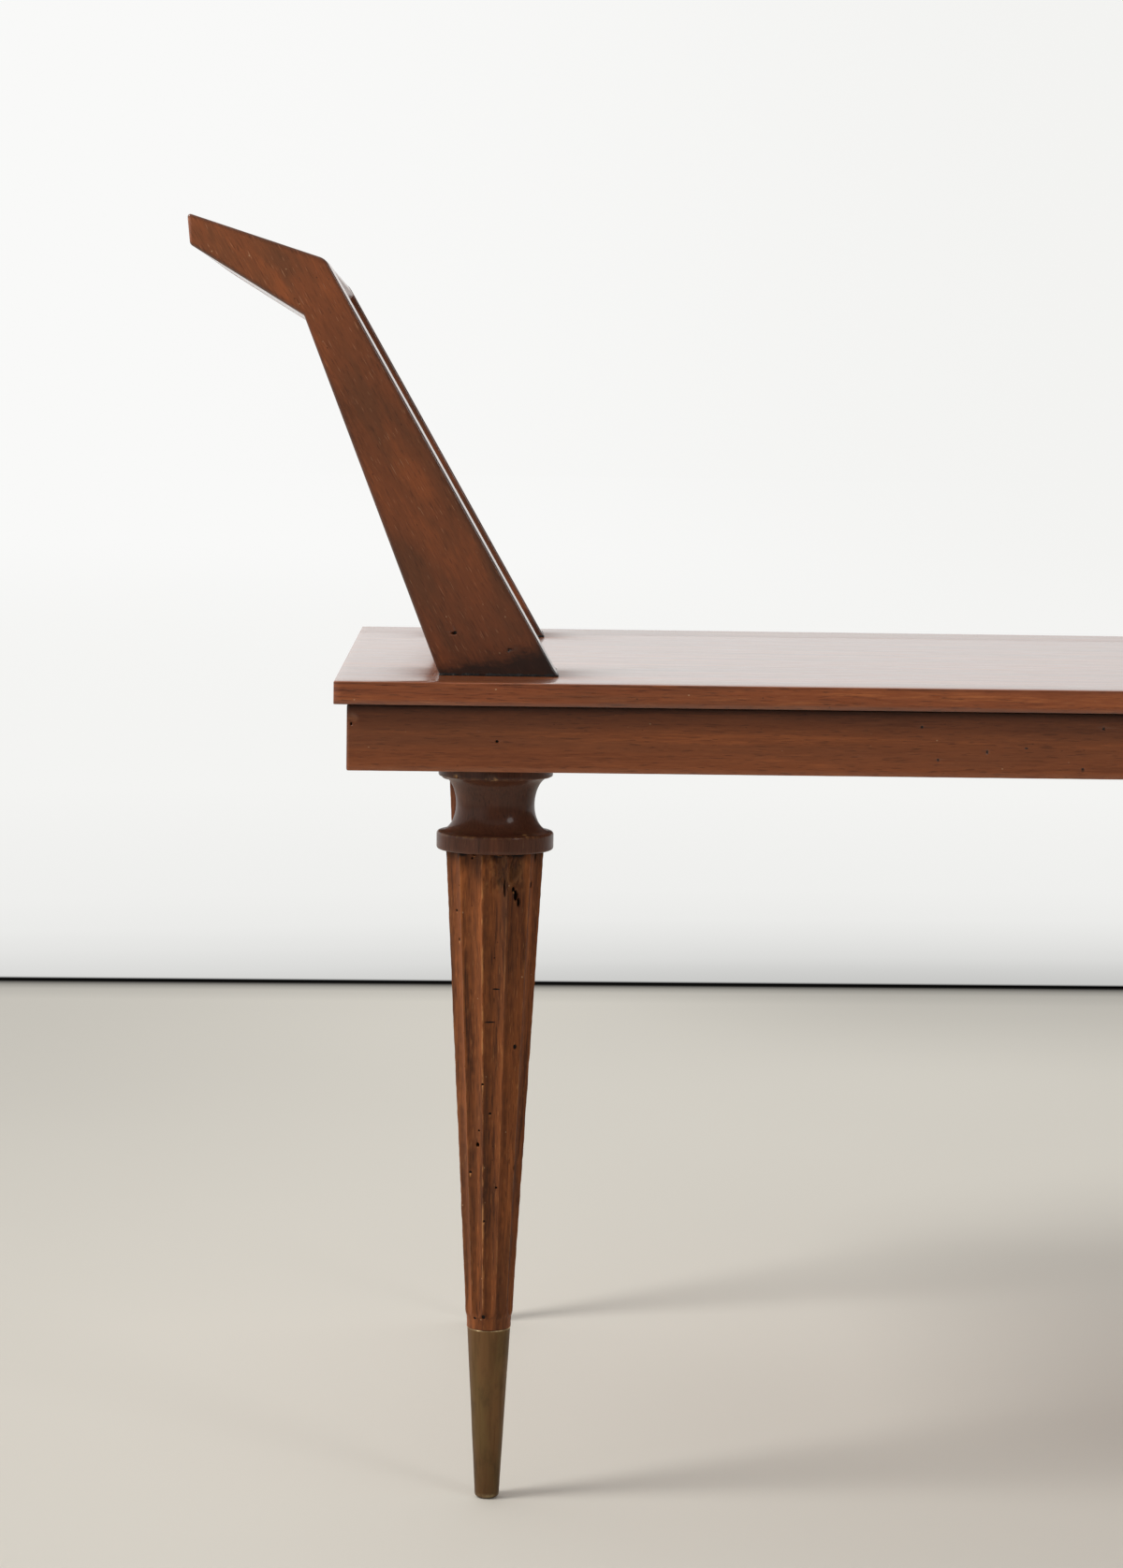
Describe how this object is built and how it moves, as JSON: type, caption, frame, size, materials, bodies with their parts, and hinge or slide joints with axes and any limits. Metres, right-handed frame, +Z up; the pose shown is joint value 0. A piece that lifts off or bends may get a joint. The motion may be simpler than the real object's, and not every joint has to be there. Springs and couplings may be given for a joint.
{
  "type": "long bench",
  "caption": "Long wooden bench with an open, slanted rest at each end, a flat seat on a shallow apron, and fluted tapering legs with turned heads and metal-capped feet.",
  "frame": {"origin": "on the floor, below the middle of the seat", "axes": "+X along the seat, +Y from the front to the rear, +Z up"},
  "size_m": [1.6602, 0.5, 0.6905],
  "materials": {
    "seat_walnut": "satin lacquer, fine straight grain",
    "apron_walnut": "satin lacquer, fine straight grain",
    "block_wood": "bare secondary wood",
    "batten_wood": "bare secondary wood",
    "capital_walnut": "dark polished, turned",
    "shaft_walnut": "worn satin, fluted",
    "arm_walnut": "satin lacquer, worn arrises",
    "armrest_walnut": "satin lacquer",
    "dowel_beech": "bare turned wood",
    "sabot_brass": "aged, dull brown patina",
    "pin_brass": "aged",
    "screw_steel": "dull"
  },
  "bodies": {
    "root": {"apron_front": "apron_walnut", "apron_left": "apron_walnut", "apron_rear": "apron_walnut", "apron_right": "apron_walnut", "arm_front_left": "arm_walnut", "arm_front_right": "arm_walnut", "arm_rear_left": "arm_walnut", "arm_rear_right": "arm_walnut", "arm_screw_front_left_inner": "screw_steel", "arm_screw_front_left_outer": "screw_steel", "arm_screw_front_right_inner": "screw_steel", "arm_screw_front_right_outer": "screw_steel", "arm_screw_rear_left_inner": "screw_steel", "arm_screw_rear_left_outer": "screw_steel", "arm_screw_rear_right_inner": "screw_steel", "arm_screw_rear_right_outer": "screw_steel", "armrest_dowel_front_left_knee": "dowel_beech", "armrest_dowel_front_left_tip": "dowel_beech", "armrest_dowel_front_right_knee": "dowel_beech", "armrest_dowel_front_right_tip": "dowel_beech", "armrest_dowel_rear_left_knee": "dowel_beech", "armrest_dowel_rear_left_tip": "dowel_beech", "armrest_dowel_rear_right_knee": "dowel_beech", "armrest_dowel_rear_right_tip": "dowel_beech", "armrest_left": "armrest_walnut", "armrest_right": "armrest_walnut", "batten_1": "batten_wood", "batten_2": "batten_wood", "batten_3": "batten_wood", "batten_screw_1_front": "screw_steel", "batten_screw_1_rear": "screw_steel", "batten_screw_2_front": "screw_steel", "batten_screw_2_rear": "screw_steel", "batten_screw_3_front": "screw_steel", "batten_screw_3_rear": "screw_steel", "leg_block_front_left": "block_wood", "leg_block_front_right": "block_wood", "leg_block_rear_left": "block_wood", "leg_block_rear_right": "block_wood", "leg_capital_front_left": "capital_walnut", "leg_capital_front_right": "capital_walnut", "leg_capital_rear_left": "capital_walnut", "leg_capital_rear_right": "capital_walnut", "leg_shaft_front_left": "shaft_walnut", "leg_shaft_front_right": "shaft_walnut", "leg_shaft_rear_left": "shaft_walnut", "leg_shaft_rear_right": "shaft_walnut", "sabot_front_left": "sabot_brass", "sabot_front_right": "sabot_brass", "sabot_pin_front_left": "pin_brass", "sabot_pin_front_right": "pin_brass", "sabot_pin_rear_left": "pin_brass", "sabot_pin_rear_right": "pin_brass", "sabot_rear_left": "sabot_brass", "sabot_rear_right": "sabot_brass", "seat_top": "seat_walnut"}
  },
  "joints": []
}
